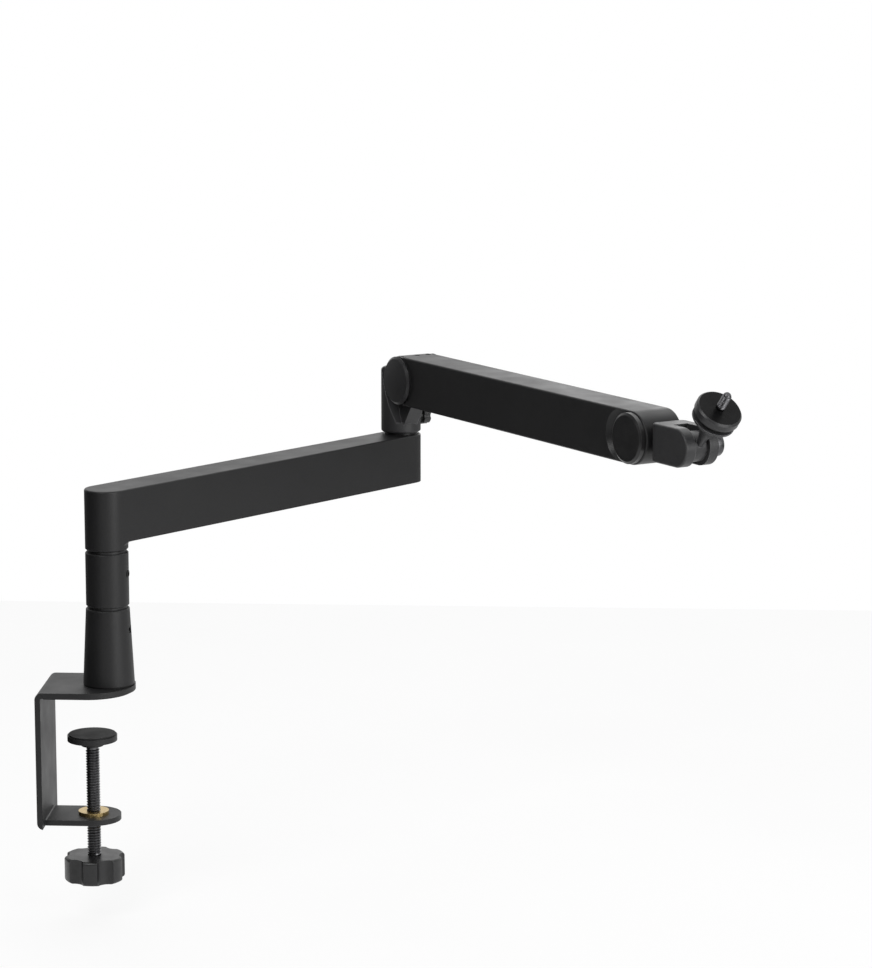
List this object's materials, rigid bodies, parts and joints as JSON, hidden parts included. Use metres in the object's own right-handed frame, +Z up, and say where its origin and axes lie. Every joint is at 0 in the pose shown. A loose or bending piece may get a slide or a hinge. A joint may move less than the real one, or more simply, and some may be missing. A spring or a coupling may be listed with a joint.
{
  "type": "microphone boom arm",
  "caption": "Low desk-clamped boom arm: flat-sided bars on a riser, joined by a swivelling and tilting elbow, with a hinged threaded mount that holds a microphone.",
  "frame": {"origin": "on the column's axis, on the underside of the clamp's top pad, where it rests on the desk", "axes": "+Z up, +X away from the clamp's back plate, +Y to the left of +X"},
  "size_m": [0.4968, 0.3821, 0.3785],
  "materials": {
    "black_aluminium": "matte black powder coat",
    "black_steel": "matte black powder coat",
    "black_plastic": "matte",
    "bearing_plastic": "satin",
    "rubber": "matte",
    "steel": "satin",
    "brass": "satin"
  },
  "bodies": {
    "base": {"clamp_bracket": "black_steel", "clamp_top_pad": "rubber", "clamp_nut": "brass", "base_socket": "black_aluminium", "base_bolts": "steel", "base_foot_ring": "rubber", "base_lock_screw": "steel", "base_washer": "bearing_plastic", "riser_tube": "black_aluminium", "riser_bush": "bearing_plastic", "riser_lock_screw": "steel", "swivel_washer": "bearing_plastic"},
    "clamp_foot": {"clamp_pressure_plate": "black_steel", "clamp_pressure_pad": "rubber"},
    "clamp_screw": {"clamp_spindle": "steel", "clamp_knob": "black_plastic"},
    "lower_arm": {"lower_arm_shell": "black_aluminium", "lower_arm_cover": "black_plastic", "column_post": "steel", "elbow_pin": "steel", "elbow_washer": "bearing_plastic"},
    "elbow": {"elbow_knuckle": "black_aluminium", "elbow_bush": "bearing_plastic", "tilt_bush": "bearing_plastic"},
    "elbow_lock": {"elbow_lock_screw": "steel", "elbow_lock_knob": "black_plastic"},
    "upper_arm": {"upper_arm_shell": "black_aluminium", "upper_arm_cover": "black_plastic", "tilt_axle": "steel", "tilt_washers": "bearing_plastic", "tilt_cap_near": "black_aluminium", "tilt_cap_far": "black_aluminium", "tension_screws": "steel", "head_bush": "bearing_plastic", "head_insert": "brass"},
    "head_lock": {"head_knob": "black_plastic", "head_knob_screw": "steel"},
    "clevis": {"head_swivel": "black_aluminium", "clevis_front_jaw": "black_aluminium", "clevis_rear_jaw": "black_aluminium", "clevis_root_screw": "steel", "clevis_bolt": "steel", "clevis_insert": "brass"},
    "stem": {"mount_stem": "black_aluminium", "mount_gasket": "rubber", "thread_stud": "steel"},
    "wheel": {"mount_wheel": "black_aluminium"}
  },
  "joints": [
    {"name": "clamp_slide", "type": "slide", "parent": "base", "child": "clamp_foot", "axis": [0, 0, 1], "range_m": [-0.028, 0.022]},
    {"name": "clamp_spin", "type": "hinge", "parent": "clamp_foot", "child": "clamp_screw", "pos_m": [-0.013, 0, -0.033], "axis": [0, 0, 1], "range_deg": [-5040, 3960]},
    {"name": "lower_swivel", "type": "hinge", "parent": "base", "child": "lower_arm", "pos_m": [0, 0, 0.1], "axis": [0, 0, 1], "continuous": true},
    {"name": "elbow_swivel", "type": "hinge", "parent": "lower_arm", "child": "elbow", "pos_m": [0.19525, 0.25353, 0.155], "axis": [0, 0, 1], "range_deg": [-31, 248]},
    {"name": "elbow_lock_spin", "type": "hinge", "parent": "elbow", "child": "elbow_lock", "pos_m": [0.19525, 0.25353, 0.1611], "axis": [0.8271, 0.5621, 0], "range_deg": [-180, 180]},
    {"name": "elbow_tilt", "type": "hinge", "parent": "elbow", "child": "upper_arm", "pos_m": [0.20778, 0.23509, 0.194], "axis": [-0.8271, -0.5621, 0], "range_deg": [-20, 60]},
    {"name": "head_lock_spin", "type": "hinge", "parent": "upper_arm", "child": "head_lock", "pos_m": [0.38652, -0.02792, 0.194], "axis": [-0.8271, -0.5621, 0], "range_deg": [-180, 180]},
    {"name": "head_roll", "type": "hinge", "parent": "upper_arm", "child": "clevis", "pos_m": [0.38652, -0.02792, 0.194], "axis": [0.5621, -0.8271, 0], "range_deg": [-90, 90]},
    {"name": "mic_tilt", "type": "hinge", "parent": "clevis", "child": "stem", "pos_m": [0.41485, -0.06961, 0.194], "axis": [-0.8271, -0.5621, 0], "range_deg": [-150, 55]},
    {"name": "wheel_spin", "type": "hinge", "parent": "stem", "child": "wheel", "pos_m": [0.41701, -0.07278, 0.19079], "axis": [0.3613, -0.5316, 0.766], "continuous": true}
  ],
  "couplings": [
    {"joint": "clamp_slide", "follows": "clamp_spin", "m_per_rad": 0.00031831}
  ]
}
